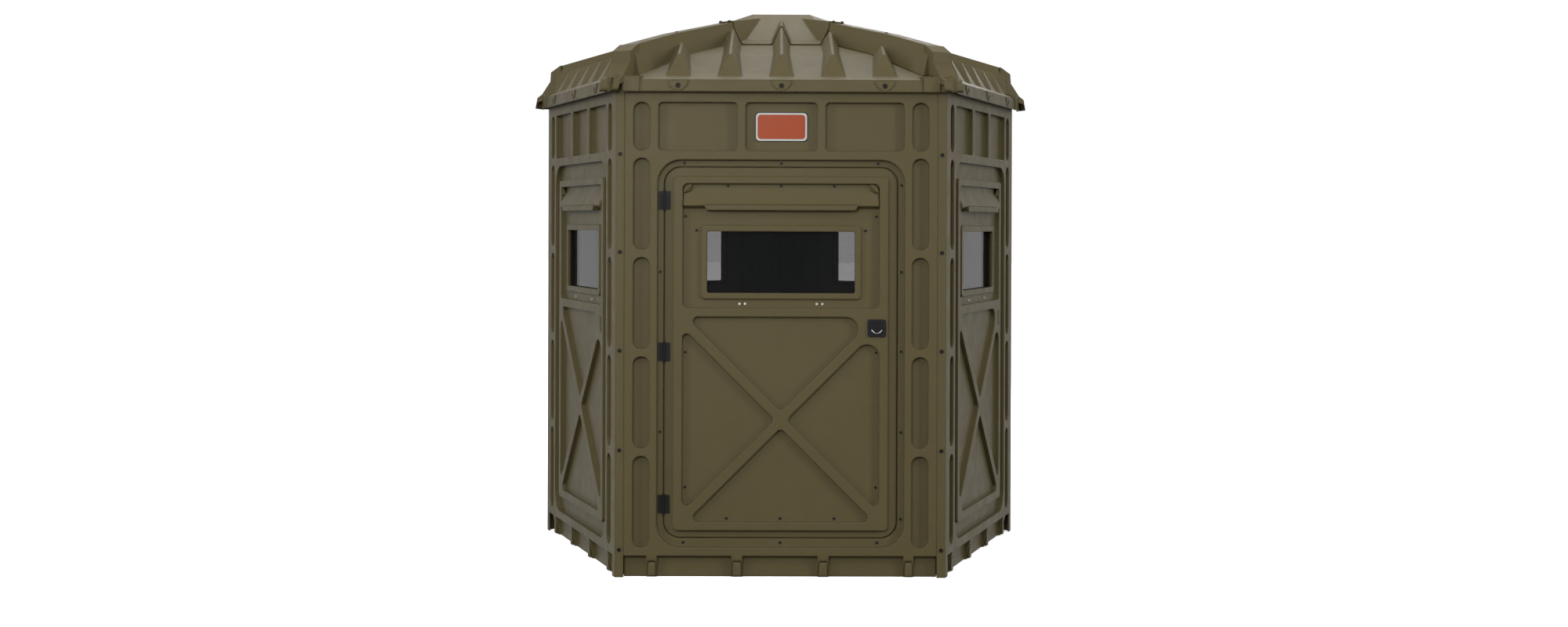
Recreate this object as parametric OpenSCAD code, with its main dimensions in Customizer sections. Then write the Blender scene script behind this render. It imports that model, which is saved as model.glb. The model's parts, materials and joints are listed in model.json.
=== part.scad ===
// Five-sided hard-shell ground blind: moulded walls, a domed roof with a cap, a hinged door with a lock,
// and five windows that fold inwards. Millimetres, +Z up, origin at the middle of the base on the ground.

/* [Walls] */
// Width of each of the five walls, from corner to corner
wall_w = 1250; // [1240:5:1270]
// Height of the walls
wall_h = 1888; // [1886:1:1889]
// Thickness of the moulded plastic skin
skin = 5; // [4.5:0.5:5]
// Depth of the rim that turns in round each wall
rim_d = 40; // [38:1:41]
// Depth of the moulded pockets
pocket_d = 20; // [19:0.5:20.5]
// Depth of the pockets in the skirt
skirt_d = 26; // [24:1:27]
// Height of the skirt
skirt_h = 81; // [70:1:90]
// Width of the flange that laps round a corner
lap_w = 33; // [32:1:34]

/* [Door] */
// Width of the door
door_w = 882; // [876:2:884]
// Height of the door
door_h = 1401; // [1397:2:1403]
// Height of the door's lower edge above the ground
door_z = 149; // [148:1:151]

/* [Windows] */
// Width of the opening in front of the glass
glass_w = 560; // [540:5:565]
// Height of the opening in front of the glass
glass_h = 233; // [225:1:236]

/* [Roof] */
// Height of the flat top of the roof cap
top_z = 2200; // [2190:1:2210]
// Number of ribs on each roof panel
rib_count = 5; // [3:2:5]

/* [Hidden] */
$fn = 48;

sides = 5;
turn = 360 / sides;
half_turn = turn / 2;
apothem = wall_w / 2 / tan(half_turn);
olive = [0.31, 0.28, 0.19];
dark_olive = [0.24, 0.22, 0.15];
black = [0.06, 0.06, 0.06];
steel = [0.7, 0.7, 0.7];
rubber = [0.1, 0.1, 0.1];
tint = [0.35, 0.38, 0.38, 0.5];
fit = 0.3;          // gap between pieces that only meet
cut = 1;            // how far a cutter runs past the face it cuts

// Wall k stands k turns clockwise from the front wall, seen from above.
WALL_FRONT = 0;
WALL_LEFT = 1;
WALL_BACK_LEFT = 2;
WALL_BACK_RIGHT = 3;
WALL_RIGHT = 4;

// Wall features
sheet_x = wall_w / 2 - lap_w - 0.5;     // half the width of a wall's pressed sheet
slot_w = 64;
slot_x = wall_w / 2 - 98;
slot_h = 346;
slot_pitch = 375.5;
slot_z = 112;
slot_count = 4;
crown_z = 1613;                          // lower edge of the row of pockets along the top
crown_h = 183;
crown_mid_w = 272;
crown_side_w = 298;
crown_side_x = 316;
crown_r = 16;
recess_w = 936;
recess_h = 1465;
recess_z = 114;
recess_r = 90;
raised_w = 812;                          // raised field inside the recess
raised_h = 1338;
raised_z = 177;
raised_r = 16;
raised_level = -3;
rib_edges = [505, 466, 184, 142];        // half positions of the skirt ribs' sides
bolt_z = [104, 480, 856, 1229, 1599];

// Window features, in each wall's own frame
bay_w = 744;
bay_h = 470;
bay_z = 1019;
glass_z = 1075;
bead = 23;
bead_level = -12;
hood_top_z = 1466;
hood_lip_z = 1407;
hood_drop = 12;
hood_level = 4;
hood_w = 738;
drip_w = 585;                            // proud drip edge along the middle of the hood's lip
drip_h = 19;
drip_out = 7;
sash_bar = 20;
sash_back = -40;
sash_front = -pocket_d - skin - 3;
gasket_w = 7;
pane_t = 4;
pane_lap = 8;
swing_z = glass_z - sash_bar - 6;        // height of the window hinge axis
// the hinge axis lies behind the sash, so its own weight keeps it shut
swing_level = sash_back - 4;
pane_level = (sash_front + sash_back) / 2;
window_hinge_x = 146.5;
window_hinge_w = 50;
knuckle_r = 4;
window_pin_r = 2;
run = 0.05;                              // radial clearance of a turning fit
screw_pitch = 21;
screw_z = 1034;
latch_z = glass_z + glass_h + 44;
latch_l = 42;
latch_w = 16;
latch_level = sash_back - 1;
latch_t = 4;
stud_r = 3;

// Door features
door_gap = 3;
door_r = 62;
hinge_x = -door_w / 2;                   // the pin stands over the gap at the door's left edge
hinge_level = -pocket_d + 4;
hinge_z = [274, 851, 1425];
hinge_h = 70;
leaf_w = 21;
leaf_t = 2;
pin_r = 2.5;
barrel_r = 3.9;
lock_x = 363;
lock_z = 944;
spindle_r = 8;
housing_r = 15;
cam_l = 96;
jamb_lap = 16;                           // how far the jamb reaches behind the door's edge

// Roof features: r is measured from the middle square to an eave, s along a hip
eave_r = 890;
eave_z = 1834;
band_z = 1880;
ledge_r = 870;
ledge_z = 1892;
knee_r = 590;                            // the pan is steeper below this distance's height
low_pan_rise = 0.385;
high_pan_rise = 0.27;
ridge_rise = 0.292;
kink_r = 820;
kink_z = 1982;
roof_rib_pitch = 195;
roof_rib_half = 47;
roof_rib_h = 72;                         // from a rib's crest down to the foot of its flanks
hip_half = 30;                            // half the width of a hip's flat top
hip_foot = 75;                            // and of its foot, on the pans
hip_deep = 120;                           // depth of the flanks below that line
hip_crown = 12;
hip_r = 740;                              // the flanks follow a straight line through this point
hip_z = 2074;
hip_rise = 0.21;
hip_block = 46;
hip_block_r = 985;
foot_half = 92;
foot_top_z = 1893;
hip_line = [[1106, eave_z], [1097, band_z], [1075, 1895], [1036, 1950], [1033, 1990], [990, 2018],
    [740, 2080], [400, 2148], [0, 2203]];
panel_in_r = 290;                        // the roof panels stop here, under the cap
cap_r = 335;
cap_hip_x = cap_r * tan(half_turn);
cap_pan_r = 392;
cap_rib_r = 305;
cap_top_r = 150;
lap_gap = 0.6;
under_hip = 12;                          // a pan runs this far past the hip line, under the next panel
eave_screw_x = [-390, 0, 390];
eave_screw_z = 1856;
eave_pad_r = 38;
hip_screw_s = 700;
hip_screw_z = 2088;
hip_slope = atan(0.2);
cap_screw_s = 388;
cap_screw_x = 22;
cap_screw_z = 2149.7;
cap_slope = atan(0.1375);

// Floor features
floor_r = 815;
floor_h = 32;
floor_skin = 6;
floor_rib_pitch = 160;
split_x = 5;                              // the floor's two halves meet here
flange_in = 62;                          // how far the bottom flange reaches in from the wall's face
floor_bolt_d = 54;
floor_bolt_x = 380;
anchor_x = 500;
anchor_y = 350;
anchor_r = 5.5;

// ---------------------------------------------------------------- flat shapes

module rounded_rect(w, h, r) {
    square([w - 2 * r, h], center = true);
    square([w, h - 2 * r], center = true);
    for (x = [-1, 1], y = [-1, 1]) translate([x * (w / 2 - r), y * (h / 2 - r)]) circle(r);
}

// A rounded rectangle standing on height z, grown all round by g
module panel_rect(w, h, z, r, g = 0) {
    translate([0, z + h / 2]) rounded_rect(w + 2 * g, h + 2 * g, r + g);
}

function outward(p, q) = [q[1] - p[1], p[0] - q[0]] / norm(q - p);
function arc_centre(p, n1, n2, r) = p - (n1 + n2) * r / (1 + n1 * n2);

// A convex polygon, given anticlockwise, with its own radius at each corner, grown by g.
// Its straight sides lie 0.05 inside the corner circles, so that they cross instead of only touching.
module rounded_polygon(corners, radii, g = 0) {
    n = len(corners);
    normals = [for (i = [0:n - 1]) outward(corners[i], corners[(i + 1) % n])];
    centres = [for (i = [0:n - 1])
        arc_centre(corners[i], normals[(i + n - 1) % n], normals[i], radii[i])];
    polygon([for (i = [0:n - 1], m = [normals[(i + n - 1) % n], normals[i]])
        centres[i] + m * (radii[i] + g - 0.05)]);
    for (i = [0:n - 1]) translate(centres[i]) circle(radii[i] + g);
}

// ---------------------------------------------------------------- placing

// Lifts a flat shape, drawn in x and z, between two levels of the front wall. Level 0 is its outer face.
module layer(low, high) {
    translate([0, -apothem - low, 0]) rotate([90, 0, 0]) linear_extrude(high - low) children();
}

// A bar across the front wall's frame, along the wall's normal
module peg(x, z, r, low, high) {
    layer(low, high) translate([x, z]) circle(r);
}

module on_wall(k) {
    rotate(-turn * k) children();
}

// ---------------------------------------------------------------- walls

module slots(g) {
    for (side = [-1, 1]) {
        for (i = [0:slot_count - 1])
            translate([side * slot_x, 0])
                panel_rect(slot_w, slot_h, slot_z + i * slot_pitch, slot_w / 2 - 1, g);
        translate([side * slot_x, 0]) panel_rect(slot_w, crown_h, crown_z, slot_w / 2 - 1, g);
        translate([side * crown_side_x, 0]) panel_rect(crown_side_w, crown_h, crown_z, crown_r, g);
    }
    panel_rect(crown_mid_w, crown_h, crown_z, crown_r, g);
}

module skirt_pockets(g) {
    spans = [[-wall_w, -rib_edges[0]], [-rib_edges[1], -rib_edges[2]], [-rib_edges[3], rib_edges[3]],
        [rib_edges[2], rib_edges[1]], [rib_edges[0], wall_w]];
    for (span = spans)
        translate([span[0] - g, -10 - g]) square([span[1] - span[0] + 2 * g, skirt_h + 10 + 2 * g]);
}

// The four triangles that leave an X-shaped brace standing
module brace_pockets(g) {
    edge = 373;
    arm = 22.5;
    mid_z = 596;
    low_z = 210;
    high_z = 985;
    r = 18;
    lock_r = 46;
    above = mid_z + 32;
    below = mid_z - 31;
    rounded_polygon([[0, above], [high_z - above, high_z], [above - high_z, high_z]], [r, lock_r, r], g);
    rounded_polygon([[-arm, mid_z], [-edge, mid_z + edge - arm], [-edge, mid_z - edge + arm]], [r, r, r],
        g);
    rounded_polygon([[arm, mid_z], [edge, mid_z - edge + arm], [edge, mid_z + edge - arm]], [r, r, lock_r],
        g);
    rounded_polygon([[0, below], [low_z - below, low_z], [below - low_z, low_z]], [r, r, r], g);
}

// The rain hood over a window, drawn as its side view and run across the bay
module hood(g) {
    foot = -pocket_d - g - cut;
    side = [[foot, hood_top_z + 8 - g], [-pocket_d - g, hood_top_z + 4 - g],
        [hood_level - g, hood_lip_z + 6 - g / 2],
        [hood_level - g, hood_lip_z - 2 + g / 2], [-pocket_d - g, hood_lip_z - hood_drop + g],
            [foot, hood_lip_z - hood_drop + g]];
    width = hood_w - 2 * g;
    translate([-width / 2, -apothem, 0]) rotate([90, 0, 90])
        linear_extrude(width) polygon([for (p = side) [-p[0], p[1]]]);
    low_z = hood_lip_z - drip_h + g;
    layer(-pocket_d - g - cut, hood_level + drip_out - g)
        polygon([[-drip_w / 2 + g, hood_lip_z + 1], [-drip_w / 2 + g + 12, low_z],
        [drip_w / 2 - g - 12, low_z], [drip_w / 2 - g, hood_lip_z + 1]]);
}

// The raised field with its window bay and brace, as a mass whose outer face is lowered by g
module raised_field(g, low) {
    difference() {
        layer(low, raised_level - g) panel_rect(raised_w, raised_h, raised_z, raised_r, -g);
        layer(-pocket_d - g, cut) {
            panel_rect(bay_w, bay_h, bay_z, 20, g);
            brace_pockets(g);
        }
    }
    hood(g);
}

module window_bead() {
    layer(-pocket_d - skin, bead_level)
        panel_rect(glass_w + 2 * bead, glass_h + 2 * bead, glass_z - bead, 16);
}

module window_hole() {
    layer(-rim_d - cut, cut) panel_rect(glass_w, glass_h, glass_z, 8);
}

// Holes for the window hinge screws
module window_screw_holes() {
    for (side = [-1, 1], s = [-0.5, 0.5])
        peg(side * window_hinge_x + s * screw_pitch, screw_z, 2.2, -rim_d, cut);
}

// The pressed sheet of a wall as a mass whose outer face is lowered by g
module sheet_mass(g) {
    back = g > 0 ? cut : 0;
    difference() {
        layer(-rim_d - back, -g) translate([0, wall_h / 2])
            square([2 * (sheet_x - g), wall_h - 2 * g], center = true);
        layer(-pocket_d - g, cut) {
            slots(g);
            panel_rect(recess_w, recess_h, recess_z, recess_r, g);
        }
        layer(-skirt_d - g, cut) skirt_pockets(g);
    }
}

// A wall's end that runs to the corner and laps round it, at the right end seen from outside
module corner_lap() {
    lap = [cos(turn), sin(turn)] * lap_w;
    inside = [-sin(turn), cos(turn)] * skin;
    corner = [wall_w / 2, -apothem];
    difference() {
        linear_extrude(wall_h)
            polygon([[sheet_x - 6, -apothem], corner, corner + lap, corner + lap + inside,
            corner + [-skin * tan(half_turn), skin], corner + [-wall_w / 2 + sheet_x - 6, skin]]);
        rotate(turn) bolt_holes(-1);
    }
}

module bolt_holes(side) {
    for (z = bolt_z) peg(side * (wall_w / 2 - lap_w / 2), z, 4.2, -rim_d, cut);
}

// A wall's end that runs under its neighbour's lap, at the right end
module corner_tongue() {
    difference() {
        layer(-2 * skin - fit, -skin - fit) translate([sheet_x - 6, skirt_h])
            square([lap_w - 4, wall_h - skirt_h]);
        bolt_holes(1);
    }
    layer(-skirt_d - skin, -skin - fit) translate([sheet_x - skin, skirt_h])
        square([skin, wall_h - skirt_h]);
}

module bottom_flange() {
    difference() {
        translate([-wall_w / 2 + 47, -apothem + rim_d - 4, 0])
            cube([wall_w - 94, flange_in - rim_d + 4, skin]);
        for (x = [-floor_bolt_x, floor_bolt_x]) translate([x, -apothem + floor_bolt_d, -cut])
            cylinder(h = 20, r = 4.2);
    }
}

module eave_holes() {
    for (x = eave_screw_x) peg(x, eave_screw_z, 3.2, -rim_d, cut);
}

module wall_shell(windowed) {
    difference() {
        union() {
            sheet_mass(0);
            if (windowed) raised_field(0, -rim_d);
        }
        difference() {
            union() {
                sheet_mass(skin);
                if (windowed) raised_field(skin, -rim_d - cut);
            }
            if (windowed) window_bead();
        }
        if (windowed) {
            window_hole();
            window_screw_holes();
        } else {
            layer(-rim_d - cut, cut)
                panel_rect(door_w + 2 * door_gap, door_h + 2 * door_gap, door_z - door_gap, door_r +
                door_gap);
            jamb_screw_holes(2.6);
            hinge_screw_pegs(-1, 1.8, -rim_d, cut);
        }
        eave_holes();
    }
    if (windowed) window_bead_ring();
    bottom_flange();
}

module window_bead_ring() {
    difference() {
        window_bead();
        window_hole();
    }
}

// A wall with its right and left ends: true where the end laps the corner, false where it runs under
module wall(k, windowed, right_laps, left_laps) {
    color(olive) on_wall(k) {
        wall_shell(windowed);
        if (right_laps) corner_lap(); else corner_tongue();
        mirror([1, 0, 0]) if (left_laps) corner_lap(); else corner_tongue();
    }
}

module corner_bolts() {
    ends = [[WALL_FRONT, -1], [WALL_FRONT, 1], [WALL_BACK_LEFT, 1], [WALL_BACK_RIGHT, -1],
        [WALL_BACK_RIGHT, 1]];
    color(black) for (e = ends, z = bolt_z) on_wall(e[0])
        bolt(e[1] * (wall_w / 2 - lap_w / 2), z, 4, 0.1, -2 * skin - 8, 7.5, 3);
}

// A bolt through a wall: shank radius, level under the head, level of its inner end, head radius and height
module bolt(x, z, r, under, inner, head_r, head_h) {
    peg(x, z, r, inner, under);
    difference() {
        peg(x, z, head_r, under, under + head_h);
        layer(under + head_h / 2, under + head_h + cut) translate([x, z]) circle(head_r / 2, $fn = 6);
    }
}

// ---------------------------------------------------------------- door frame

jamb_screws_at = concat(
    [for (x = [-367, 0, 367], z = [130, 1566]) [x, z]],
    [for (z = [548, 1154]) [-456, z]],
    [for (z = [219, 548, 854, 1156, 1484]) [456, z]]);

module jamb_screw_holes(r) {
    for (p = jamb_screws_at) peg(p[0], p[1], r, -rim_d, cut);
}

module hinge_screw_pegs(side, r, low, high) {
    for (z = hinge_z, dz = [-24, 0, 24]) peg(hinge_x + side * 13.5, z + dz, r, low, high);
}

module door_jamb() {
    seat = -pocket_d - skin - fit;
    step = -pocket_d - 2 * skin;
    color(dark_olive) difference() {
        union() {
            layer(seat - skin, seat) panel_rect(door_w + 80, door_h + 80, door_z - 40, door_r + 38);
            layer(step - skin, step) panel_rect(door_w + 20, door_h + 20, door_z - 10, door_r + 10);
        }
        layer(step, cut) panel_rect(door_w + 10, door_h + 10, door_z - 5, door_r + 5);
        layer(-2 * rim_d, cut)
            panel_rect(door_w - 2 * jamb_lap, door_h - 2 * jamb_lap, door_z + jamb_lap, door_r - jamb_lap);
        jamb_screw_holes(2.6);
        hinge_screw_pegs(-1, 1.8, -rim_d, cut);
    }
}

module door_seal() {
    front = -pocket_d - skin - fit;
    back = -pocket_d - 2 * skin + 0.1;
    color(rubber) layer(back, front) difference() {
        panel_rect(door_w - 6, door_h - 6, door_z + 3, door_r - 3);
        panel_rect(door_w - 2 * jamb_lap + 4, door_h - 2 * jamb_lap + 4, door_z + jamb_lap - 2,
            door_r - jamb_lap + 2);
    }
}

module door_frame_screws() {
    color(black) {
        for (p = jamb_screws_at) bolt(p[0], p[1], 2.5, -pocket_d + 0.1, -rim_d, 5, 2.5);
        for (z = hinge_z, dz = [-24, 0, 24])
            bolt(hinge_x - 13.5, z + dz, 1.7, -pocket_d + leaf_t + 0.2, -rim_d, 3.4, 1.2);
    }
}

// One hinge leaf: side -1 is the frame's, with the outer knuckles, and side 1 the door's
module hinge_leaf(side, z) {
    span = hinge_h / 5;
    own = side < 0 ? [-2, 0, 2] : [-1, 1];
    level = -pocket_d + 0.1;
    inner = min(side * 2, side * (leaf_w + 1));
    difference() {
        union() {
            difference() {
                layer(level, level + leaf_t) translate([hinge_x + inner, z - hinge_h / 2])
                    square([leaf_w - 1, hinge_h]);
                for (i = [-2:2]) if (len([for (o = own) if (o == i) o]) == 0)
                    translate([hinge_x, -apothem - hinge_level, z + i * span])
                        cylinder(h = span + 0.6, r = barrel_r + 0.8, center = true);
            }
            for (i = own) {
                translate([hinge_x, -apothem - hinge_level, z + i * span])
                    cylinder(h = span - 0.6, r = barrel_r, center = true);
                layer(level, level + leaf_t)
                    translate([hinge_x + min(0, side * 6), z + i * span - span / 2 + fit])
                    square([6, span - 0.6]);
            }
        }
        translate([hinge_x, -apothem - hinge_level, z])
            cylinder(h = hinge_h + 2, r = pin_r + run, center = true);
        for (dz = [-24, 0, 24]) peg(hinge_x + side * 13.5, z + dz, 1.9, -rim_d, cut);
    }
}

module hinge_leaves(side) {
    color(black) for (z = hinge_z) hinge_leaf(side, z);
}

module hinge_pins() {
    color(black) for (z = hinge_z) translate([hinge_x, -apothem - hinge_level, z]) {
        cylinder(h = hinge_h + 6, r = pin_r, center = true);
        for (end = [-1, 1]) translate([0, 0, end * (hinge_h / 2 + 3)])
            cylinder(h = 4, r = 3.4, center = true);
    }
}

// ---------------------------------------------------------------- door

door_screws_at = concat(
    [for (x = [-201, 0, 201]) [x, 1480]],
    [for (x = [-320, 320]) [x, 1312]],
    [for (x = [-361, 361], z = [339, 850, 1365]) [x, z]],
    [for (x = [-204, 0, 204]) [x, 221]]);

module door_hinge_holes(r) {
    hinge_screw_pegs(1, r, -rim_d, cut);
}

module door_screw_holes(r) {
    for (p = door_screws_at) peg(p[0], p[1], r, -rim_d, cut);
}

module door_shell() {
    flange = -pocket_d - skin;
    color(olive) {
        difference() {
            union() {
                layer(flange, -pocket_d) panel_rect(door_w - door_gap, door_h, door_z, door_r);
                raised_field(0, flange);
            }
            difference() {
                raised_field(skin, flange - cut);
                window_bead();
            }
            window_hole();
            window_screw_holes();
            door_screw_holes(2.6);
            door_hinge_holes(1.8);
            peg(lock_x, lock_z, housing_r + 0.5, -rim_d, cut);
        }
        window_bead_ring();
    }
}

module door_liner() {
    front = -pocket_d - skin - 0.6;
    color(dark_olive) difference() {
        layer(front - 3, front)
            panel_rect(door_w - 2 * jamb_lap - 14, door_h - 2 * jamb_lap - 14, door_z + jamb_lap + 7,
            door_r - jamb_lap - 7);
        layer(-rim_d, cut) panel_rect(glass_w + 110, glass_h + 140, glass_z - 64, 20);
        door_screw_holes(2.6);
        peg(lock_x, lock_z, housing_r + 0.5, -rim_d, cut);
    }
}

module door_screws() {
    color(black) {
        for (p = door_screws_at) bolt(p[0], p[1], 2.5, -pocket_d + 0.1, -rim_d + 4, 5, 2.5);
        for (z = hinge_z, dz = [-24, 0, 24])
            bolt(hinge_x + 13.5, z + dz, 1.7, -pocket_d + leaf_t + 0.2, -pocket_d - skin, 3.4, 1.2);
    }
}

// ---------------------------------------------------------------- lock

module lock_plate() {
    face = raised_level + fit;
    color(black) difference() {
        union() {
            layer(face, face + 5) translate([lock_x, lock_z]) rounded_rect(70, 67, 10);
            peg(lock_x, lock_z, housing_r, -pocket_d - 18, face + 1);
        }
        peg(lock_x, lock_z, 25, face + 2, face + 6);
        peg(lock_x, lock_z, spindle_r + run, -rim_d - 10, 10);
    }
}

module lock_knob() {
    face = raised_level + fit + 2.3;
    color(steel) {
        peg(lock_x, lock_z, spindle_r, -72, face + 1);
        peg(lock_x, lock_z, 22, face, face + 3);
        layer(face + 2, face + 9) translate([lock_x, lock_z]) rounded_rect(8, 38, 3);
    }
}

module lock_cam() {
    color(steel) difference() {
        layer(-49, -45) {
            translate([lock_x, lock_z]) circle(14);
            translate([lock_x - 12, lock_z]) square([24, cam_l - 5]);
            translate([lock_x, lock_z + cam_l - 8]) circle(11.5);
        }
        peg(lock_x, lock_z, spindle_r + run, -60, 0);
    }
}

module lock_inner_knob() {
    color(black) difference() {
        union() {
            peg(lock_x, lock_z, 20, -62, -52);
            layer(-76, -61) translate([lock_x, lock_z]) rounded_rect(12, 38, 4);
        }
        peg(lock_x, lock_z, spindle_r + run, -73, -50);
    }
}

module badge() {
    floor_level = -pocket_d + fit;
    color([0.75, 0.3, 0.12]) layer(floor_level, floor_level + 2)
        panel_rect(190, 104, crown_z + crown_h / 2 - 52, 14);
}

// ---------------------------------------------------------------- windows, in the front wall's frame

module gasket() {
    color(rubber) layer(sash_front + 0.1, -pocket_d - skin - 0.1) difference() {
        panel_rect(glass_w + 30, glass_h + 30, glass_z - 15, 8);
        panel_rect(glass_w + 30 - 2 * gasket_w, glass_h + 30 - 2 * gasket_w, glass_z - 15 + gasket_w, 6);
    }
}

module sash() {
    color(black) difference() {
        layer(sash_back, sash_front)
            panel_rect(glass_w + 2 * sash_bar, glass_h + 2 * sash_bar, glass_z - sash_bar, 10);
        layer(sash_back - cut, sash_front + cut) panel_rect(glass_w, glass_h, glass_z, 8);
        layer(pane_level - pane_t / 2 - 0.1, pane_level + pane_t / 2 + 0.1)
            panel_rect(glass_w + 2 * pane_lap + 1, glass_h + 2 * pane_lap + 1, glass_z - pane_lap - 0.5, 6);
    }
}

module pane() {
    color(tint) layer(pane_level - pane_t / 2, pane_level + pane_t / 2)
        panel_rect(glass_w + 2 * pane_lap, glass_h + 2 * pane_lap, glass_z - pane_lap, 6);
}

module swing_rod(x, w, r) {
    translate([x, -apothem - swing_level, swing_z]) rotate([0, 90, 0])
        cylinder(h = w, r = r, center = true);
}

// The half of a window hinge that is screwed to the wall, with the middle knuckle
module hinge_brackets() {
    back = -pocket_d - skin - 0.1;
    knuckle = window_hinge_w * 0.4;
    color(steel) for (side = [-1, 1]) difference() {
        union() {
            swing_rod(side * window_hinge_x, knuckle, knuckle_r);
            layer(swing_level, back) translate([side * window_hinge_x - knuckle / 2, swing_z - 3])
                square([knuckle, 4.5]);
            layer(back - leaf_t, back) translate([side * window_hinge_x - window_hinge_w / 2, 1023])
                square([window_hinge_w, swing_z - 5.5 - 1023]);
            layer(back - leaf_t, back) translate([side * window_hinge_x - knuckle / 2, 1040])
                square([knuckle, 10]);
        }
        swing_rod(side * window_hinge_x, window_hinge_w, window_pin_r + run);
        for (s = [-0.5, 0.5]) peg(side * window_hinge_x + s * screw_pitch, screw_z, 2.2, -rim_d, cut);
    }
}

module sash_hinges() {
    knuckle = window_hinge_w * 0.28;
    color(steel) for (side = [-1, 1]) difference() {
        union() {
            for (end = [-1, 1]) {
                x = side * window_hinge_x + end * (window_hinge_w - knuckle) / 2;
                swing_rod(x, knuckle, knuckle_r);
                layer(swing_level, sash_back - 0.1) translate([x - knuckle / 2, swing_z + 0.5])
                    square([knuckle, 7]);
            }
            layer(sash_back - 0.1 - leaf_t, sash_back - 0.1)
                translate([side * window_hinge_x - window_hinge_w / 2, swing_z + knuckle_r + 1.5])
                    square([window_hinge_w, 18]);
        }
        swing_rod(side * window_hinge_x, window_hinge_w + 2, window_pin_r + run);
    }
}

module window_pins() {
    color(steel) for (side = [-1, 1]) swing_rod(side * window_hinge_x, window_hinge_w + 3, window_pin_r);
}

// Hinge screws with their nuts, and the stud that the latch turns on
module window_fasteners() {
    back = -pocket_d - skin;
    color(steel) for (side = [-1, 1], s = [-0.5, 0.5]) {
        x = side * window_hinge_x + s * screw_pitch;
        bolt(x, screw_z, 2, -pocket_d + 0.1, back - 6, 4.5, 2);
    }
    color(black) {
        peg(0, latch_z, stud_r, latch_level - latch_t - 1, back - 0.1);
        peg(0, latch_z, 6, latch_level + 0.3, back - 0.1);
        peg(0, latch_z, 9, back - 2, back - 0.1);
        peg(0, latch_z, 5.5, latch_level - latch_t - 3.2, latch_level - latch_t - 0.3);
    }
}

module latch() {
    color(black) difference() {
        union() {
            layer(latch_level - latch_t, latch_level) {
                translate([0, latch_z]) circle(latch_w / 2);
                translate([0, latch_z - latch_w / 2 + 0.5]) square([latch_l, latch_w - 1]);
                translate([latch_l, latch_z]) circle(latch_w / 2 - 1);
            }
            layer(latch_level - latch_t - 9, latch_level - 1) translate([latch_l - 4, latch_z - 5])
                square([4, 10]);
        }
        peg(0, latch_z, stud_r + run, -2 * rim_d, 0);
    }
}

// ---------------------------------------------------------------- roof

// Draws a side view, given as distance from the middle and height, and runs it across the front sector
module run_across(points, w) {
    translate([-w / 2, 0, 0]) rotate([90, 0, 90]) linear_extrude(w)
        polygon([for (p = points) [-p[0], p[1]]]);
}

// Height of the pan's surface at distance r from the middle
function pan_z(r) = r > knee_r ? ledge_z + (ledge_r - r) * low_pan_rise
    : ledge_z + (ledge_r - knee_r) * low_pan_rise + (knee_r - r) * high_pan_rise;

// All the shapes below are masses under a surface that is lowered by g, so two of them make a skin.
module pan_mass(g, low) {
    run_across([[0, low], [eave_r - g, low], [eave_r - 0.1 - g, eave_z + 2],
        [eave_r - 3 - g, band_z - g / 2],
        [ledge_r - g / 3, pan_z(ledge_r) - 1.05 * g],
        [knee_r, pan_z(knee_r) - 1.05 * g], [0, pan_z(0) - 1.05 * g]], 2 * eave_r);
}

module roof_rib(x, g) {
    half = roof_rib_half - g;
    deep = roof_rib_h + 30;
    slope = atan(ridge_rise);
    translate([x, 0, 0]) intersection() {
        run_across([[0, 1800], [ledge_r - g, 1800], [ledge_r - g, ledge_z - 2], [kink_r - g, kink_z - g],
            [0, kink_z - g + (kink_r - g) * ridge_rise]],
            2 * half);
        translate([0, -kink_r, kink_z - 1.3 * g]) rotate([90 + slope, 0, 0])
            translate([0, 0, -kink_r * 1.1]) linear_extrude(kink_r * 1.4)
                polygon([[-half, g - roof_rib_h], [-half, -deep], [half, -deep], [half, g - roof_rib_h],
                    [5, 0], [-5, 0]]);
    }
}

// A straight bar that slopes down along a hip: flat on top, with flanks that spread towards the pans
module hip_flanks(g) {
    top = hip_half - g / 3;
    foot = hip_foot - g;
    translate([0, -hip_r, hip_z - g]) rotate([90 + atan(hip_rise), 0, 0])
        translate([0, 0, -hip_r * 1.1]) linear_extrude(hip_r * 1.8)
            polygon([[-foot, -hip_deep], [foot, -hip_deep], [top, hip_crown], [-top, hip_crown]]);
}

// The hip at the sector's left edge: a ridge with sloping flanks that stands on both neighbouring panels.
// Its outer end is a block of constant width, on a foot that stands proud of both eaves.
module hip_mass(g, low) {
    top = [for (p = hip_line) [max(0, p[0] - g), p[1] - g]];
    foot = [for (i = [len(hip_line) - 1:-1:1]) [hip_line[i][0] - g,
        max(eave_z - low, pan_z(hip_line[i][0] * cos(half_turn)) - 26 - low)]];
    toe = low > 0 ? [[hip_line[0][0] - g, eave_z - low]] : [];
    rotate(-half_turn) {
        intersection() {
            run_across(concat(top, foot, toe), 2 * (hip_foot - g));
            union() {
                intersection() {
                    hip_flanks(g);
                    translate([-100, g - hip_block_r - 25, 1700]) cube([200, 1200, 700]);
                }
                translate([g - hip_block, -1200, 1700])
                    cube([2 * (hip_block - g), 1200 - hip_block_r, 700]);
            }
        }
        intersection() {
            translate([g - foot_half, -1200, eave_z - low])
                cube([2 * (foot_half - g), 300, foot_top_z - g - eave_z + low]);
            rotate(half_turn) pentagon(eave_r + 5 - g, 1700, 2400);
        }
    }
}

module roof_ribs(g) {
    for (i = [0:rib_count - 1]) roof_rib((i - (rib_count - 1) / 2) * roof_rib_pitch, g);
}

// Plan of one sector between its two hips, less a margin at the right one
module sector_plan(right_margin, low, high, far = 1300) {
    half = far * tan(half_turn);
    away = right_margin / cos(half_turn);
    translate([0, 0, low]) linear_extrude(high - low)
        polygon([[-away / 2, -away / 2 / tan(half_turn)], [-half, -far], [half - away, -far]]);
}

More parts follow.
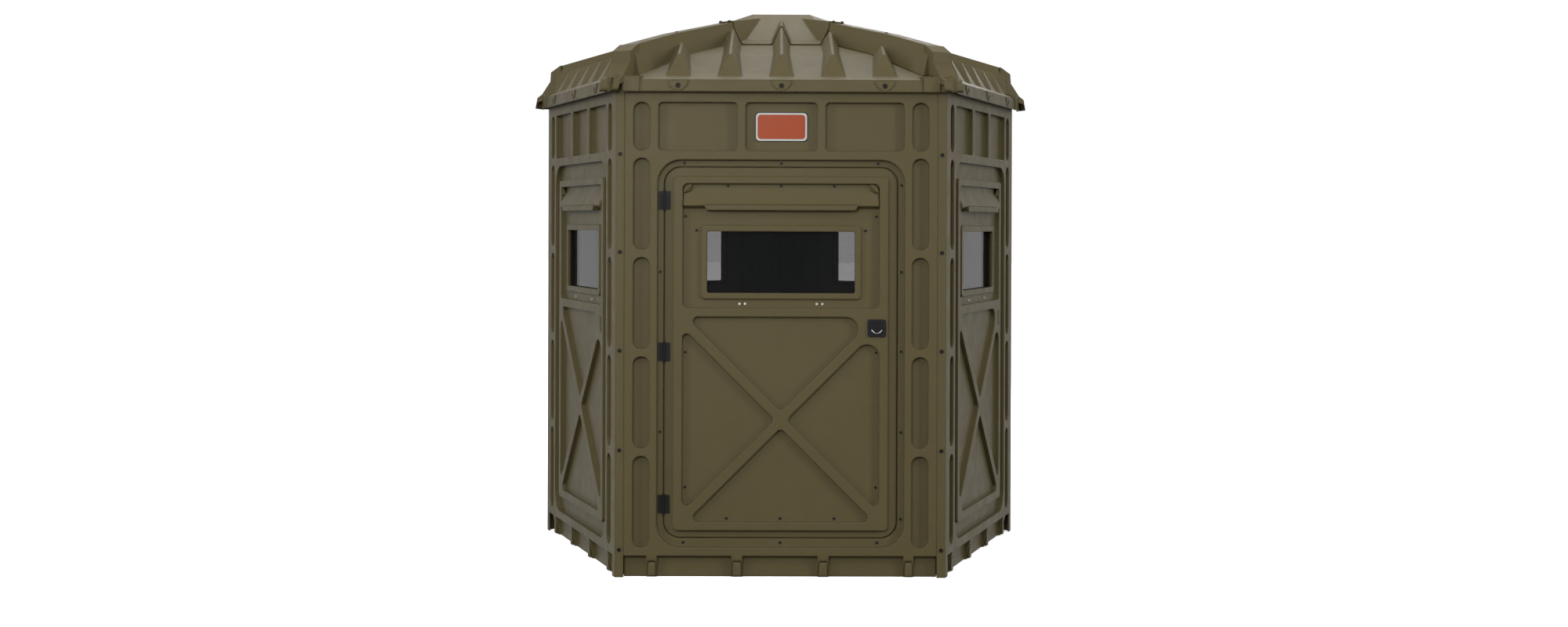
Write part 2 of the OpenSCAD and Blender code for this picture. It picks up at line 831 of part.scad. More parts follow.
// A sector's pan runs on under the next panel's hip; its ribs stop short of it.
module sector_mass(g, low, pan_margin, rib_margin) {
    intersection() {
        pan_mass(g, eave_z - low);
        sector_plan(pan_margin, 1700, 2400);
    }
    intersection() {
        roof_ribs(g);
        sector_plan(rib_margin, 1700, 2400);
    }
}

module pentagon(r, low, high) {
    translate([0, 0, low]) rotate(-90 - half_turn)
        cylinder(h = high - low, r = r / cos(half_turn), $fn = sides);
}

// Bosses behind the eave screws, and a post under the next panel's hip for the hip screw
module roof_bosses() {
    for (x = eave_screw_x) peg(x, eave_screw_z, 14, fit, eave_r - apothem - 4);
    rotate(half_turn) translate([0, -hip_screw_s, 1984]) cylinder(h = hip_screw_z - 8 - 1984, r = 8);
}

// A half disc that stands a little proud round each eave screw
module eave_pads() {
    face = eave_r - apothem;
    for (x = eave_screw_x) layer(face - 4, face + 2) intersection() {
        translate([x, band_z - 2]) circle(eave_pad_r);
        translate([x - 60, band_z - 102]) square([120, 100]);
    }
}

module hip_screw_hole(s, x, z, slope) {
    rotate(-half_turn) translate([x, -s, z]) rotate([slope, 0, 0]) cylinder(h = 60, r = 3, center = true);
}

module roof_panel(k) {
    color(olive) on_wall(k) difference() {
        union() {
            sector_mass(0, 0, -under_hip, hip_foot + fit);
            hip_mass(0, 0);
            eave_pads();
            roof_bosses();
        }
        difference() {
            union() {
                sector_mass(skin, 60, -under_hip - cut, hip_foot + fit + skin);
                hip_mass(skin, 60);
            }
            roof_bosses();
        }
        on_wall(1) intersection() {
            pan_mass(-fit, eave_z - 80);
            sector_plan(-under_hip - cut, 1700, 2400);
        }
        for (x = eave_screw_x) {
            peg(x, eave_screw_z, 3.2, -cut, 60);
            peg(x, eave_screw_z, 9, eave_r - apothem - 6, 60);
        }
        hip_screw_hole(hip_screw_s, 0, hip_screw_z, hip_slope);
        for (x = [-cap_screw_x, cap_screw_x]) hip_screw_hole(cap_screw_s, x, cap_screw_z, cap_slope);
        rotate(turn) hip_screw_hole(hip_screw_s, 0, hip_screw_z, hip_slope);
        pentagon(panel_in_r, 1700, 2400);
    }
}

// Plan of the cap: its edge dips out over the pans and draws back round the ribs and at the hips
module cap_plan(grow) {
    edge = [[-cap_hip_x, cap_r], [-200, 322], [-152, cap_pan_r], [-42, cap_pan_r], [-8, cap_rib_r],
        [8, cap_rib_r],
        [42, cap_pan_r], [152, cap_pan_r], [200, 322]];
    k = 1 + grow / cap_r;
    polygon([for (i = [0:sides - 1], p = edge) let (a = turn * i)
        [cos(a) * p[0] * k + sin(a) * p[1] * k, sin(a) * p[0] * k - cos(a) * p[1] * k]]);
}

module cap_mass(g) {
    inner = g > -2;
    intersection() {
        union() {
            for (k = [0:sides - 1]) on_wall(k) {
                sector_mass(g, 0, -2, -2);
                hip_mass(g, 0);
            }
            translate([0, 0, 1990 - g]) rotate(-90 - half_turn)
                cylinder(h = top_z - 1990, r1 = (cap_r + 74 - g) / cos(half_turn),
                    r2 = (cap_top_r - g) / cos(half_turn), $fn = sides);
        }
        translate([0, 0, inner ? 2000 : 2020])
            linear_extrude(top_z - (inner ? skin : 0) - (inner ? 2000 : 2020))
            cap_plan(inner ? cut : 0);
    }
}

module roof_cap() {
    color(olive) difference() {
        cap_mass(-skin - lap_gap);
        cap_mass(-lap_gap);
        for (k = [0:sides - 1], x = [-cap_screw_x, cap_screw_x]) on_wall(k)
            hip_screw_hole(cap_screw_s, x, cap_screw_z, cap_slope);
    }
}

module eave_screws() {
    color(black) for (k = [0:sides - 1], x = eave_screw_x) on_wall(k)
        bolt(x, eave_screw_z, 3, eave_r - apothem - 6 + 0.1, -skin - 10, 7, 3);
}

module hip_screw(s, x, z, slope, over) {
    translate([x, -s, z]) rotate([slope, 0, 0]) {
        translate([0, 0, over + 0.1]) cylinder(h = 3, r = 6);
        translate([0, 0, -14]) cylinder(h = 14 + over + 0.2, r = 2.5);
    }
}

module roof_screws() {
    color(black) for (k = [0:sides - 1]) rotate(-turn * k - half_turn) {
        hip_screw(hip_screw_s, 0, hip_screw_z, hip_slope, 0);
        for (x = [-cap_screw_x, cap_screw_x])
            hip_screw(cap_screw_s, x, cap_screw_z, cap_slope, skin + lap_gap + 1);
    }
}

// ---------------------------------------------------------------- floor

module floor_plan(r) {
    rotate(-90 - half_turn) circle(r / cos(half_turn), $fn = sides);
}

module floor_half(side) {
    pitch = floor_rib_pitch;
    anchors = [for (x = [-anchor_x, anchor_x], y = [-anchor_y, anchor_y]) [x, y]];
    color(dark_olive) difference() {
        intersection() {
            linear_extrude(floor_h) floor_plan(floor_r);
            translate([side > 0 ? split_x + 0.5 : split_x - 1200.5, -1200, 0]) cube([1200, 2400, floor_h]);
        }
        difference() {
            translate([0, 0, -cut]) linear_extrude(skin + fit + cut) floor_plan(floor_r + 20);
            translate([0, 0, -2 * cut]) linear_extrude(skin + 10) floor_plan(apothem - flange_in - 1);
        }
        intersection() {
            translate([0, 0, -cut]) linear_extrude(floor_h - floor_skin + cut)
                floor_plan(apothem - flange_in - 12);
            for (i = [0:4], j = [-5:5])
                translate([side > 0 ? split_x + 6 + i * pitch : -(i + 1) * pitch, j * pitch + 3, -2 * cut])
                if (!is_anchor_cell(side > 0 ? split_x + 6 + i * pitch : -(i + 1) * pitch, j * pitch + 3,
                    pitch)) cube([pitch - 6, pitch - 6, floor_h]);
        }
        for (p = anchors) translate([p[0], p[1], -cut]) cylinder(h = floor_h + 2 * cut, r = anchor_r);
        for (k = [0:sides - 1], x = [-floor_bolt_x, floor_bolt_x]) on_wall(k)
            translate([x, -apothem + floor_bolt_d, -cut]) cylinder(h = floor_h + 2 * cut, r = 4.2);
    }
}

// The cells round the four anchor holes stay solid
function is_anchor_cell(x, y, pitch) =
    anchor_x > abs(x + (pitch - 6) / 2) - pitch / 2 && anchor_x < abs(x + (pitch - 6) / 2) + pitch / 2
    && anchor_y > abs(y + (pitch - 6) / 2) - pitch / 2 && anchor_y < abs(y + (pitch - 6) / 2) + pitch / 2;

module floor_bolts() {
    color(steel) for (k = [0:sides - 1], x = [-floor_bolt_x, floor_bolt_x]) on_wall(k)
        translate([x, -apothem + floor_bolt_d, 0.2]) {
            cylinder(h = floor_h + 0.2, r = 4);
            translate([0, 0, floor_h]) cylinder(h = 4, r = 8, $fn = 6);
        }
}

// ---------------------------------------------------------------- nodes

module on_each_window_wall() {
    for (k = [WALL_LEFT, WALL_BACK_LEFT, WALL_BACK_RIGHT, WALL_RIGHT]) on_wall(k) children();
}

wall(WALL_FRONT, false, false, false);  // wall_front
wall(WALL_LEFT, true, true, true);  // wall_left
wall(WALL_RIGHT, true, true, true);  // wall_right
wall(WALL_BACK_LEFT, true, false, true);  // wall_back_left
wall(WALL_BACK_RIGHT, true, false, false);  // wall_back_right
roof_panel(WALL_FRONT);  // roof_front
roof_panel(WALL_LEFT);  // roof_left
roof_panel(WALL_RIGHT);  // roof_right
roof_panel(WALL_BACK_LEFT);  // roof_back_left
roof_panel(WALL_BACK_RIGHT);  // roof_back_right
roof_cap();
floor_half(-1);  // floor_left
floor_half(1);  // floor_right
corner_bolts();
eave_screws();
roof_screws();
floor_bolts();
door_jamb();
door_seal();
door_frame_screws();
hinge_leaves(-1);  // hinge_frame_leaves
hinge_pins();
hinge_leaves(1);  // hinge_door_leaves
door_shell();
door_liner();
door_screws();
lock_plate();
lock_knob();
lock_cam();
lock_inner_knob();
badge();
on_each_window_wall() gasket();  // window_gaskets
on_each_window_wall() hinge_brackets();  // window_hinge_brackets
on_each_window_wall() window_pins();  // window_hinge_pins
on_each_window_wall() window_fasteners();
gasket();  // door_window_gasket
hinge_brackets();  // door_window_hinge_brackets
window_pins();  // door_window_hinge_pins
window_fasteners();  // door_window_fasteners
sash();  // sash_door
on_wall(WALL_LEFT) sash();  // sash_left
on_wall(WALL_RIGHT) sash();  // sash_right
on_wall(WALL_BACK_LEFT) sash();  // sash_back_left
on_wall(WALL_BACK_RIGHT) sash();  // sash_back_right
pane();  // pane_door
on_wall(WALL_LEFT) pane();  // pane_left
on_wall(WALL_RIGHT) pane();  // pane_right
on_wall(WALL_BACK_LEFT) pane();  // pane_back_left
on_wall(WALL_BACK_RIGHT) pane();  // pane_back_right
sash_hinges();  // sash_hinges_door
on_wall(WALL_LEFT) sash_hinges();  // sash_hinges_left
on_wall(WALL_RIGHT) sash_hinges();  // sash_hinges_right
on_wall(WALL_BACK_LEFT) sash_hinges();  // sash_hinges_back_left
on_wall(WALL_BACK_RIGHT) sash_hinges();  // sash_hinges_back_right
latch();  // latch_door
on_wall(WALL_LEFT) latch();  // latch_left
on_wall(WALL_RIGHT) latch();  // latch_right
on_wall(WALL_BACK_LEFT) latch();  // latch_back_left
on_wall(WALL_BACK_RIGHT) latch();  // latch_back_right
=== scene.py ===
"""Looks for the five-sided hard-shell ground blind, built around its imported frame. Metres."""

import json
import math

import bmesh
import bpy
from mathutils import Matrix, Vector

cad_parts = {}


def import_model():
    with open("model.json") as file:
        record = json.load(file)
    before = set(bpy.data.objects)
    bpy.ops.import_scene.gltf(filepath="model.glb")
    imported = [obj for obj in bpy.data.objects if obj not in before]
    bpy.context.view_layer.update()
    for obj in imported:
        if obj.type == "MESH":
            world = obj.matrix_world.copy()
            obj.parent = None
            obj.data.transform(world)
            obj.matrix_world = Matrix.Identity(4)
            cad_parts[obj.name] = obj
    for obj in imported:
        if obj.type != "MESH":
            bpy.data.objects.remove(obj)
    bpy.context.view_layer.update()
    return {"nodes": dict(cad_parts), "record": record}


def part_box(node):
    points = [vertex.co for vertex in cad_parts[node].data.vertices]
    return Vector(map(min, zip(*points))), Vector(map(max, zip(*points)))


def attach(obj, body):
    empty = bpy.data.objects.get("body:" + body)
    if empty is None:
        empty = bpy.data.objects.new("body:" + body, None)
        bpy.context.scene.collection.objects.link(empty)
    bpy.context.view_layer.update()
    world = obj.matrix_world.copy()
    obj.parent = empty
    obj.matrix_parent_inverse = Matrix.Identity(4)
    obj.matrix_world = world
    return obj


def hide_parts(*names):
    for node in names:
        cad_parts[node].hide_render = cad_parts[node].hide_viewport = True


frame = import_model()

SIDES = ["front", "left", "right", "back_left", "back_right"]
WINDOWS = ["door", "left", "right", "back_left", "back_right"]
BODY_OF = {node: body for body, nodes in frame["record"]["behaviour"]["bodies"].items() for node in nodes}
SLOT_OF = {part["node"]: part["material_slot"] for part in frame["record"]["subparts"]}
MM = 0.001


# ---------------------------------------------------------------- materials

def new_material(name):
    material = bpy.data.materials.new(name)
    material.use_nodes = True
    tree = material.node_tree
    tree.nodes.clear()
    output = tree.nodes.new("ShaderNodeOutputMaterial")
    shader = tree.nodes.new("ShaderNodeBsdfPrincipled")
    tree.links.new(shader.outputs[0], output.inputs["Surface"])
    coords = tree.nodes.new("ShaderNodeTexCoord")
    return material, tree, shader, coords.outputs["Object"]


def noise(tree, coords, scale, detail, roughness=0.5):
    node = tree.nodes.new("ShaderNodeTexNoise")
    node.inputs["Scale"].default_value = scale
    node.inputs["Detail"].default_value = detail
    node.inputs["Roughness"].default_value = roughness
    tree.links.new(coords, node.inputs["Vector"])
    return node.outputs["Fac"]


def ramp(tree, value, stops):
    node = tree.nodes.new("ShaderNodeValToRGB")
    while len(node.color_ramp.elements) < len(stops):
        node.color_ramp.elements.new(0.5)
    for element, (position, colour) in zip(node.color_ramp.elements, stops):
        element.position = position
        element.color = (*colour, 1.0)
    tree.links.new(value, node.inputs["Fac"])
    return node.outputs["Color"]


def mix(tree, factor, a, b):
    node = tree.nodes.new("ShaderNodeMix")
    node.data_type = "RGBA"
    node.inputs["Factor"].default_value = factor
    tree.links.new(a, node.inputs[6])
    tree.links.new(b, node.inputs[7])
    return node.outputs[2]


def spread(tree, value, low, high, out_low, out_high):
    node = tree.nodes.new("ShaderNodeMapRange")
    for name, number in zip(("From Min", "From Max", "To Min", "To Max"), (low, high, out_low, out_high)):
        node.inputs[name].default_value = number
    tree.links.new(value, node.inputs["Value"])
    return node.outputs["Result"]


def bump(tree, shader, height, strength, distance, soft_edge=0.0):
    node = tree.nodes.new("ShaderNodeBump")
    if soft_edge:
        rounded = tree.nodes.new("ShaderNodeBevel")
        rounded.samples = 4
        rounded.inputs["Radius"].default_value = soft_edge
        tree.links.new(rounded.outputs["Normal"], node.inputs["Normal"])
    node.inputs["Strength"].default_value = strength
    node.inputs["Distance"].default_value = distance
    tree.links.new(height, node.inputs["Height"])
    tree.links.new(node.outputs["Normal"], shader.inputs["Normal"])


def shade(colour, factor):
    return tuple(min(1.0, c * factor) for c in colour)


def colour_from(tree, shader, value, stops):
    tree.links.new(ramp(tree, value, stops), shader.inputs["Base Color"])


def roughness_from(tree, shader, value, low, high, smooth, rough):
    tree.links.new(spread(tree, value, low, high, smooth, rough), shader.inputs["Roughness"])


def moulded_plastic(name, colour, roughness=0.5, grain=1.0, soft_edge=0.0):
    """Rotation-moulded plastic: orange-peel grain, faint flow marks and dusty speckle."""
    material, tree, shader, coords = new_material(name)
    clouds = noise(tree, coords, 2.2, 5.0, 0.6)
    flow = noise(tree, coords, 14.0, 6.0, 0.65)
    speckle = noise(tree, coords, 420.0, 2.0, 0.7)
    broad = ramp(tree, clouds, [(0.3, shade(colour, 0.90)), (0.7, shade(colour, 1.08))])
    fine = ramp(tree, flow, [(0.35, shade(colour, 0.93)), (0.65, shade(colour, 1.07))])
    dots = ramp(tree, speckle, [(0.42, shade(colour, 0.82)), (0.5, colour), (0.62, shade(colour, 1.16))])
    tree.links.new(mix(tree, 0.35, mix(tree, 0.5, broad, fine), dots), shader.inputs["Base Color"])
    roughness_from(tree, shader, flow, 0.3, 0.7, roughness - 0.05, roughness + 0.07)
    shader.inputs["Specular IOR Level"].default_value = 0.18
    bump(tree, shader, noise(tree, coords, 900.0, 3.0, 0.6), 0.16 * grain, 0.0006, soft_edge)
    return material


def metal(name, colour, roughness):
    """Bright metal with fine handling wear."""
    material, tree, shader, coords = new_material(name)
    wear = noise(tree, coords, 260.0, 4.0, 0.6)
    colour_from(tree, shader, wear, [(0.3, shade(colour, 0.8)), (0.7, shade(colour, 1.12))])
    roughness_from(tree, shader, wear, 0.25, 0.75, roughness - 0.06, roughness + 0.08)
    shader.inputs["Metallic"].default_value = 1.0
    bump(tree, shader, noise(tree, coords, 1500.0, 2.0), 0.08, 0.0003)
    return material


def rubber(name):
    """Matt black rubber with a little dust."""
    material, tree, shader, coords = new_material(name)
    dust = noise(tree, coords, 60.0, 5.0, 0.7)
    colour_from(tree, shader, dust, [(0.35, (0.012, 0.012, 0.012)), (0.75, (0.03, 0.029, 0.027))])
    shader.inputs["Roughness"].default_value = 0.8
    bump(tree, shader, noise(tree, coords, 1200.0, 2.0), 0.2, 0.0004)
    return material


def tinted_glass(name):
    """Smoke-grey acrylic with a faint haze."""
    material, tree, shader, coords = new_material(name)
    haze = noise(tree, coords, 7.0, 4.0, 0.6)
    colour_from(tree, shader, haze, [(0.3, (0.007, 0.008, 0.008)), (0.7, (0.010, 0.012, 0.012))])
    roughness_from(tree, shader, haze, 0.3, 0.7, 0.03, 0.06)
    shader.inputs["Alpha"].default_value = 0.355
    shader.inputs["Specular IOR Level"].default_value = 0.5
    shader.inputs["IOR"].default_value = 1.49
    return material


OLIVE = (0.077, 0.062, 0.0255)
DARK_OLIVE = (0.048, 0.039, 0.016)
finishes = {
    "olive_plastic": moulded_plastic("olive_plastic", OLIVE, soft_edge=8 * MM),
    "dark_olive_plastic": moulded_plastic("dark_olive_plastic", DARK_OLIVE, 0.55),
    "black_metal": moulded_plastic("black_metal", (0.006, 0.006, 0.006), 0.5, 0.4),
    "black_plastic": moulded_plastic("black_plastic", (0.007, 0.007, 0.007), 0.45),
    "zinc_steel": metal("zinc_steel", (0.55, 0.55, 0.54), 0.3),
    "bright_chrome": metal("bright_chrome", (0.72, 0.73, 0.75), 0.14),
    "seal_rubber": rubber("seal_rubber"),
    "tinted_glass": tinted_glass("tinted_glass"),
    "orange_plate": moulded_plastic("orange_plate", (0.27, 0.040, 0.006), 0.35, 0.4),
    "white_edge": moulded_plastic("white_edge", (0.40, 0.39, 0.37), 0.35, 0.4),
}


def finish_with(obj, slot_name):
    obj.data.materials.clear()
    obj.data.materials.append(finishes[slot_name])


# ---------------------------------------------------------------- pieces


def place(obj, body, slot_name, *replaced):
    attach(obj, body)
    if replaced:
        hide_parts(*replaced)
    finish_with(obj, slot_name)


def mesh_object(name, bm):
    bm.normal_update()
    data = bpy.data.meshes.new(name)
    bm.to_mesh(data)
    bm.free()
    obj = bpy.data.objects.new(name, data)
    bpy.context.scene.collection.objects.link(obj)
    return obj


WALL_TURN = {"front": 0, "left": 1, "back_left": 2, "back_right": 3, "right": 4, "door": 0}
HALF_WALL = 625 * MM
FACE_Y = -HALF_WALL / math.tan(math.radians(36))
SKIRT_TOP = 81 * MM
RIB_TAPER = 18 * MM                       # how far the skirt's ribs lean back at the ground
RIB_FRONT = 8 * MM                        # only what stands ahead of this depth leans
RIBS_END = 585 * MM                       # beyond this the corner posts stay upright
SHORT_EDGE = 0.9 * MM                     # edges no longer than this stay sharp
THIN_FACE = 2.5 * MM                      # and so do edges beside faces this narrow
FLOOR_REACH = 60.0


def wall_matrix(side):
    """From a wall's own frame (x to the right, y inwards from its face, z up) to the object's."""
    return Matrix.Rotation(-math.radians(72) * WALL_TURN[side], 4, "Z") @ Matrix.Translation((0, FACE_Y, 0))


def flat_facets(node):
    """The node's shape with its flat faces whole, ready to have its edges rounded."""
    bm = bmesh.new()
    bm.from_mesh(frame["nodes"][node].data)
    bmesh.ops.remove_doubles(bm, verts=bm.verts, dist=0.00002)
    bmesh.ops.dissolve_limit(bm, angle_limit=math.radians(0.4), verts=bm.verts, edges=bm.edges)
    return bm


def room_beyond(edge, face):
    """How far the face reaches away from the edge."""
    start = edge.verts[0].co
    along = (edge.verts[1].co - start).normalized()
    return max(((v.co - start) - along * (v.co - start).dot(along)).length for v in face.verts)


def weigh_edges(bm, width, angle):
    """Gives each sharp edge a bevel weight that leaves thin faces their shape."""
    weight = bm.edges.layers.float.new("bevel_weight_edge")
    for edge in bm.edges:
        if len(edge.link_faces) == 2 and edge.calc_face_angle(0.0) > math.radians(angle):
            room = min(room_beyond(edge, face) for face in edge.link_faces)
            if edge.calc_length() > SHORT_EDGE and room > THIN_FACE:
                edge[weight] = min(1.0, 0.4 * room / width)


def round_edges(obj, width, segments):
    for polygon in obj.data.polygons:
        polygon.use_smooth = True
    bevel = obj.modifiers.new("rounded", "BEVEL")
    bevel.limit_method = "WEIGHT"
    bevel.width = width
    bevel.segments = segments
    bevel.use_clamp_overlap = True
    shading = obj.modifiers.new("flat_faces_flat", "WEIGHTED_NORMAL")
    shading.mode = "FACE_AREA"
    shading.weight = 90
    shading.keep_sharp = False


def rounded_piece(name, bm, width, segments=3, angle=28):
    weigh_edges(bm, width, angle)
    obj = mesh_object(name, bm)
    round_edges(obj, width, segments)
    return obj


def moulding(node, width, segments=3, angle=28, reshape=None):
    bm = flat_facets(node)
    if reshape:
        reshape(bm)
    obj = rounded_piece(node + "_moulding", bm, width, segments, angle)
    place(obj, BODY_OF[node], SLOT_OF[node], node)


def taper_skirt(side):
    """The ribs between the skirt's pockets lean back towards the ground."""
    to_wall = wall_matrix(side).inverted()

    def reshape(bm):
        everything = bm.verts[:] + bm.edges[:] + bm.faces[:]
        cut = {"plane_co": (0, 0, SKIRT_TOP), "plane_no": (0, 0, 1), "dist": 0.0004}
        bmesh.ops.bisect_plane(bm, geom=everything, **cut)
        inwards = wall_matrix(side).to_3x3() @ Vector((0, 1, 0))
        for vert in bm.verts:
            local = to_wall @ vert.co
            if local.z < 1 * MM and local.y < RIB_FRONT and abs(local.x) < RIBS_END:
                vert.co += inwards * RIB_TAPER

    return reshape


for side in SIDES:
    moulding("wall_" + side, 5.5 * MM, reshape=taper_skirt(side))
moulding("door_shell", 5.5 * MM)
for name in ["roof_" + side for side in SIDES] + ["roof_cap"]:
    moulding(name, 7 * MM, 4, 16)
for name in ["floor_left", "floor_right", "door_jamb"]:
    moulding(name, 2 * MM, 2)
for name in ["sash_" + w for w in WINDOWS] + ["latch_" + w for w in WINDOWS]:
    moulding(name, 2 * MM, 2)
for name in ["lock_plate", "lock_inner_knob"]:
    moulding(name, 1.5 * MM, 3)


# ---------------------------------------------------------------- badge, painted highlight on the lock knob and small mouldings

def outline_plate(name, outline, depth, matrix, width, body, slot_name, *replaced):
    """A plate with rounded edges, its outline in a wall's x and z, and its faces at the two depths."""
    low, high = depth
    bm = bmesh.new()
    back = [bm.verts.new(matrix @ Vector((x, low, z))) for x, z in outline]
    front = [bm.verts.new(matrix @ Vector((x, high, z))) for x, z in outline]
    bm.faces.new(back)
    bm.faces.new(front[::-1])
    for i in range(len(outline)):
        n = (i + 1) % len(outline)
        bm.faces.new((back[n], back[i], front[i], front[n]))
    bmesh.ops.recalc_face_normals(bm, faces=bm.faces)
    place(rounded_piece(name, bm, width), body, slot_name, *replaced)


def rounded_outline(centre, size, radius):
    steps = 8
    points = []
    for quarter, (sx, sz) in enumerate(((1, 1), (-1, 1), (-1, -1), (1, -1))):
        for i in range(steps + 1):
            angle = math.radians(90 * quarter + 90 * i / steps)
            points.append((centre[0] + sx * (size[0] / 2 - radius) + radius * math.cos(angle),
                           centre[1] + sz * (size[1] / 2 - radius) + radius * math.sin(angle)))
    return points


def badge():
    """A plain orange plate with a pale rim and a dark edge."""
    low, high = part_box("badge")
    centre = ((low[0] + high[0]) / 2, (low[2] + high[2]) / 2)
    base = high[1] - FACE_Y
    matrix = wall_matrix("front")
    layers = [("badge_edge", 200, 112, 1.6, "black_plastic"), ("badge_rim", 194, 106, 2.2, "white_edge"),
              ("badge_field", 180, 92, 2.8, "orange_plate")]
    for name, w, h, thick, slot_name in layers:
        outline = rounded_outline(centre, (w * MM, h * MM), h * MM * 0.14)
        depth = (base, base - thick * MM)
        replaced = ("badge",) if name == "badge_field" else ()
        outline_plate(name, outline, depth, matrix, 0.5 * MM, "shell", slot_name, *replaced)


def knob_painted_highlight():
    """A painted highlight: a bright chrome crescent on the face of the CAD knob, thickest in its middle,
    standing in for the ring highlight on the knob.
    """
    low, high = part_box("lock_plate")
    centre = Vector(((low[0] + high[0]) / 2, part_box("lock_knob")[0][1], (low[2] + high[2]) / 2))
    bm = bmesh.new()
    rings, steps = 6, 40
    reach, sunk, thickest = 19.5 * MM, 4.5 * MM, 3.4 * MM
    for i in range(steps + 1):
        sweep = math.radians(-165 + 150 * i / steps)
        fat = thickest * math.sin(math.pi * i / steps) ** 0.6 + 0.3 * MM
        out = Vector((math.cos(sweep), 0, math.sin(sweep)))
        middle = centre + out * reach + Vector((0, sunk, 0))
        for r in range(rings):
            turn = 2 * math.pi * r / rings
            bm.verts.new(middle + out * fat * math.cos(turn) + Vector((0, fat * 0.8 * math.sin(turn), 0)))
    bm.verts.ensure_lookup_table()
    for i in range(steps):
        for r in range(rings):
            a, b = i * rings + r, i * rings + (r + 1) % rings
            bm.faces.new((bm.verts[a], bm.verts[b], bm.verts[b + rings], bm.verts[a + rings]))
    bm.faces.new(bm.verts[:rings][::-1])
    bm.faces.new(bm.verts[-rings:])
    bmesh.ops.recalc_face_normals(bm, faces=bm.faces)
    for face in bm.faces:
        face.smooth = True
    # painted highlight: a bright chrome sliver put where the knob shows its ring highlight
    place(mesh_object("lock_knob_painted_highlight", bm), "lock", "bright_chrome")


def bay_corners(side, body):
    """The facets across the two top corners of a window bay, beside its hood."""
    reach, bay_w, bay_top = 36 * MM, 744 * MM, 1489 * MM
    rim, deep = 4 * MM, 19 * MM
    for hand, label in ((-1, "a"), (1, "b")):
        corner = Vector((hand * bay_w / 2, 0, bay_top))
        across = corner + Vector((-hand * reach, rim, 0))
        down = corner + Vector((0, rim, -reach))
        foot = corner + Vector((-hand * reach * 0.95, deep, -reach * 0.95))
        behind = corner + Vector((0, deep, 0))
        bm = bmesh.new()
        verts = [bm.verts.new(wall_matrix(side) @ p) for p in (across, down, foot, behind)]
        for trio in ((0, 1, 2), (0, 3, 1), (1, 3, 2), (2, 3, 0)):
            bm.faces.new([verts[i] for i in trio])
        bmesh.ops.recalc_face_normals(bm, faces=bm.faces)
        place(rounded_piece("bay_corner_%s_%s" % (side, label), bm, 2 * MM), body, "olive_plastic")


def grip_slot(side):
    """The small upright slot that the window walls have where the door has its lock."""
    centre, size, depth = (363 * MM, 943 * MM), (20 * MM, 64 * MM), (4 * MM, 1.5 * MM)
    outline = rounded_outline(centre, size, 9.9 * MM)
    name = "grip_slot_" + side
    outline_plate(name, outline, depth, wall_matrix(side), 1.2 * MM, "shell", "dark_olive_plastic")


badge()
# painted highlight on the lock knob, made as a bright chrome crescent
knob_painted_highlight()
bay_corners("door", "door")
for side in SIDES[1:]:
    bay_corners(side, "shell")
    grip_slot(side)

for name in SLOT_OF:
    finish_with(frame["nodes"][name], SLOT_OF[name])
finish_with(frame["nodes"]["lock_knob"], "black_metal")


# ---------------------------------------------------------------- room, light and camera

def area_light(name, place_at, target, size, power, spread_angle=180):
    light = bpy.data.lights.new(name, "AREA")
    light.spread = math.radians(spread_angle)
    light.shape = "RECTANGLE"
    light.size, light.size_y = size
    light.energy = power
    obj = bpy.data.objects.new(name, light)
    obj.location = place_at
    obj.rotation_euler = (Vector(target) - Vector(place_at)).to_track_quat("-Z", "Y").to_euler()
    bpy.context.scene.collection.objects.link(obj)


def studio_floor():
    """A plain pale floor that glows a little, so it stays white. It casts no light up at the blind."""
    bm = bmesh.new()
    bmesh.ops.create_grid(bm, x_segments=1, y_segments=1, size=FLOOR_REACH)
    floor = mesh_object("studio_floor", bm)
    floor.location.z = -0.5 * MM
    floor.visible_diffuse = False
    floor.visible_glossy = False
    material, _, shader, _ = new_material("studio_floor")
    shader.inputs["Base Color"].default_value = (1.0, 1.0, 1.0, 1.0)
    shader.inputs["Roughness"].default_value = 1.0
    shader.inputs["Emission Color"].default_value = (1.0, 1.0, 1.0, 1.0)
    shader.inputs["Emission Strength"].default_value = 0.55
    floor.data.materials.append(material)


BACKDROP_FADES = 0.45                     # cosines of the angle from straight behind the blind
BACKDROP_WHITE = 0.80


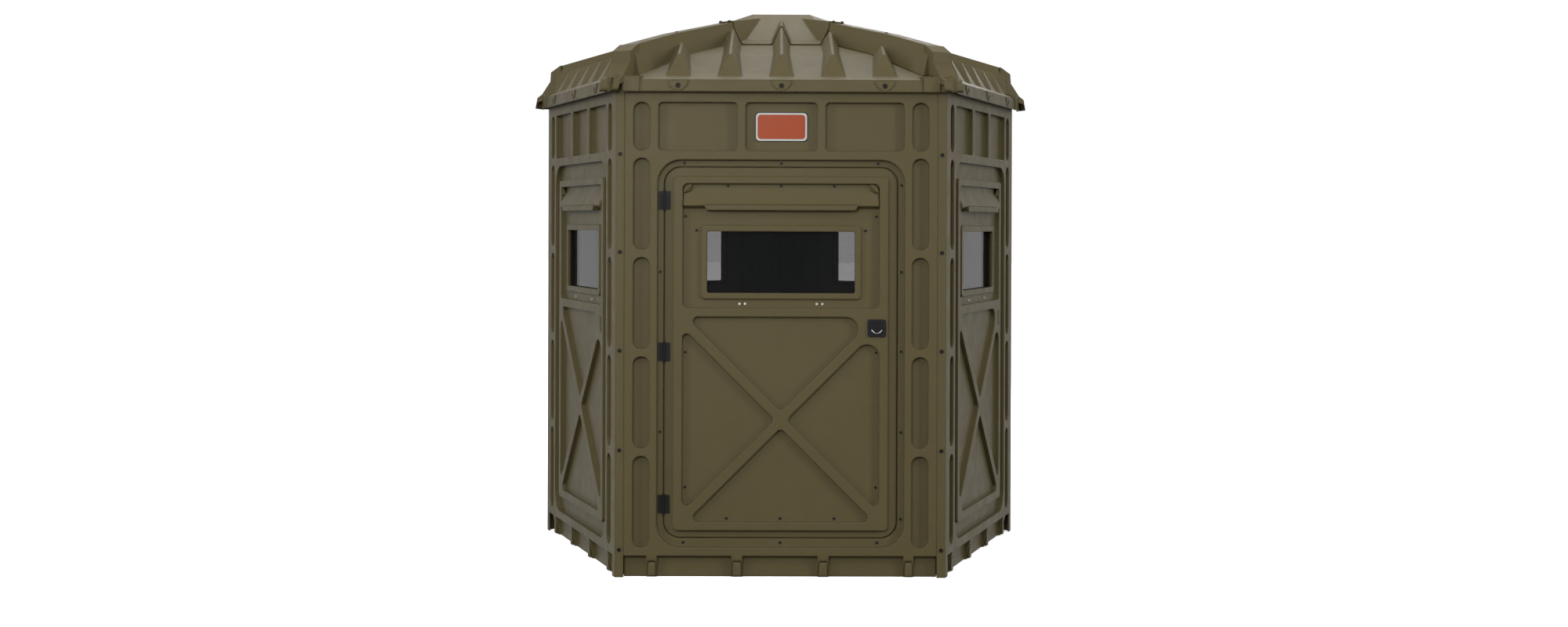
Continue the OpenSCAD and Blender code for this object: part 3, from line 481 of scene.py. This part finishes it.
def world():
    """A room, bright behind the blind and overhead and dim in front. The camera sees it plain white."""
    sky = bpy.data.worlds.new("studio")
    sky.use_nodes = True
    tree = sky.node_tree
    coords = tree.nodes.new("ShaderNodeTexCoord")
    parts = tree.nodes.new("ShaderNodeSeparateXYZ")
    brighter = tree.nodes.new("ShaderNodeMath")
    brighter.operation = "MAXIMUM"
    path = tree.nodes.new("ShaderNodeLightPath")
    lit = tree.nodes["Background"]
    seen = tree.nodes.new("ShaderNodeBackground")
    either = tree.nodes.new("ShaderNodeMixShader")
    for background in (lit, seen):
        background.inputs["Color"].default_value = (1.0, 1.0, 1.0, 1.0)
    tree.links.new(coords.outputs["Generated"], parts.inputs[0])
    height = spread(tree, parts.outputs["Z"], -1.0, 1.0, 0.0, 1.0)
    greys = [(0.0, 0.14), (0.5, 0.24), (1.0, 0.85)]
    room = ramp(tree, height, [(up, (grey, grey, grey)) for up, grey in greys])
    backdrop = spread(tree, parts.outputs["Y"], BACKDROP_FADES, BACKDROP_WHITE, 0.0, 1.0)
    tree.links.new(room, brighter.inputs[0])
    tree.links.new(backdrop, brighter.inputs[1])
    tree.links.new(brighter.outputs[0], lit.inputs["Strength"])
    tree.links.new(path.outputs["Is Camera Ray"], either.inputs["Fac"])
    tree.links.new(lit.outputs[0], either.inputs[1])
    tree.links.new(seen.outputs[0], either.inputs[2])
    tree.links.new(either.outputs[0], tree.nodes["World Output"].inputs["Surface"])
    bpy.context.scene.world = sky


def camera():
    data = bpy.data.cameras.new("camera")
    data.sensor_width = 36.0
    data.lens = 46.41
    data.shift_x = -0.0026
    data.shift_y = -0.0578
    data.clip_end = 200.0
    obj = bpy.data.objects.new("camera", data)
    obj.location = (-0.0258, -8.498, 1.341)
    obj.rotation_euler = (math.radians(90), -0.0035, -0.0068)
    bpy.context.scene.collection.objects.link(obj)
    bpy.context.scene.camera = obj


studio_floor()
world()
area_light("left_strip", (-6.0, -4.0, 3.0), (0, 0, 1.2), (1.2, 4.5), 180)
area_light("right_strip", (6.0, -4.0, 3.0), (0, 0, 1.2), (1.2, 4.5), 240)
area_light("top", (0, 0.5, 4.8), (0, -0.1, 2.0), (2.6, 2.2), 22, 80)
area_light("back", (2.0, 8.0, 3.5), (0, 0, 1.3), (3.0, 2.0), 170)
area_light("front", (-1.5, -7.5, 3.0), (0, 0, 1.3), (3.0, 2.0), 270)
camera()
bpy.context.scene.view_settings.view_transform = "Standard"
